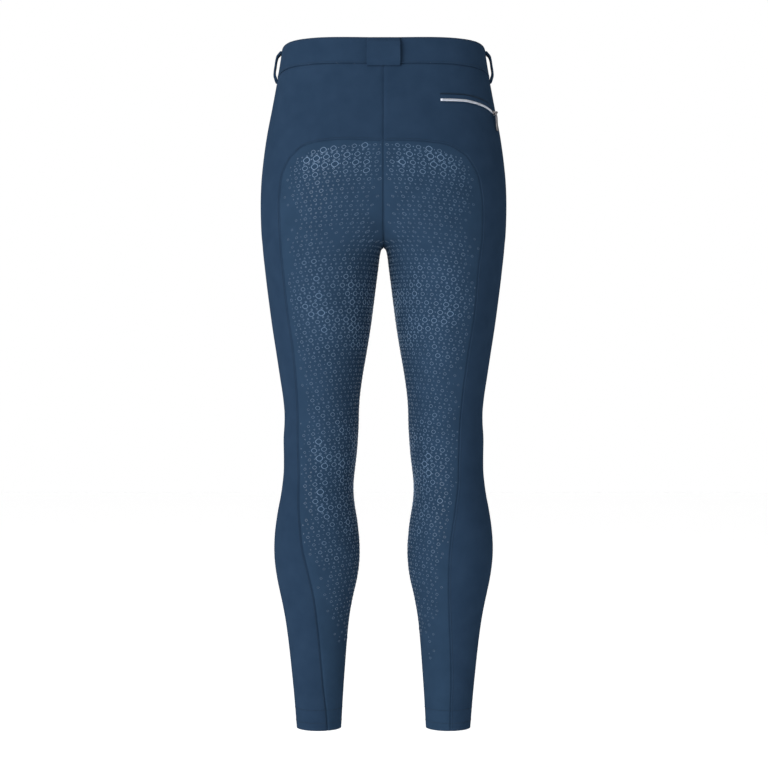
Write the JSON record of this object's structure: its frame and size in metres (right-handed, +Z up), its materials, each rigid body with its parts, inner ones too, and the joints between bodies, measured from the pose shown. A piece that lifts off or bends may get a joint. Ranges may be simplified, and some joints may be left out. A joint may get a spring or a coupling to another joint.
{
  "type": "riding breeches",
  "caption": "Full-seat riding breeches, filled out and hollow, with a waistband, belt loops, a zipped back pocket and a seat panel that runs down the inner legs.",
  "frame": {"origin": "middle of the waist opening, at the height of the back waistband, where the wearer holds the garment up", "axes": "+Z up, +Y towards the front of the garment, -Y towards the back that the picture shows, +X towards the wearer's right"},
  "size_m": [0.3702, 0.2506, 1.0276],
  "materials": {
    "cloth": "matt navy stretch cloth",
    "seat_cloth": "matt navy stretch cloth with a pale blue grip print",
    "button": "dark blue, satin",
    "zip_tape": "silver, satin",
    "zip_metal": "bronze grey, satin"
  },
  "bodies": {
    "garment": {"waistband_left": "cloth", "waistband_right": "cloth", "back_left": "cloth", "back_right": "cloth", "seat_left": "seat_cloth", "seat_right": "seat_cloth", "front_left": "cloth", "front_right": "cloth", "loop_back": "cloth", "loop_side_left": "cloth", "loop_side_right": "cloth", "loop_front_left": "cloth", "loop_front_right": "cloth", "fly_flap": "cloth", "waist_button": "button", "pocket_welt": "cloth", "pocket_zip": "zip_tape", "zip_slider": "zip_metal"},
    "pull": {"zip_pull": "zip_metal"}
  },
  "joints": [
    {"name": "pull_hinge", "type": "hinge", "parent": "garment", "child": "pull", "pos_m": [0.16788, -0.05085, -0.08252], "axis": [-0.3924, -0.9197, 0.014], "range_deg": [0, 150]}
  ]
}
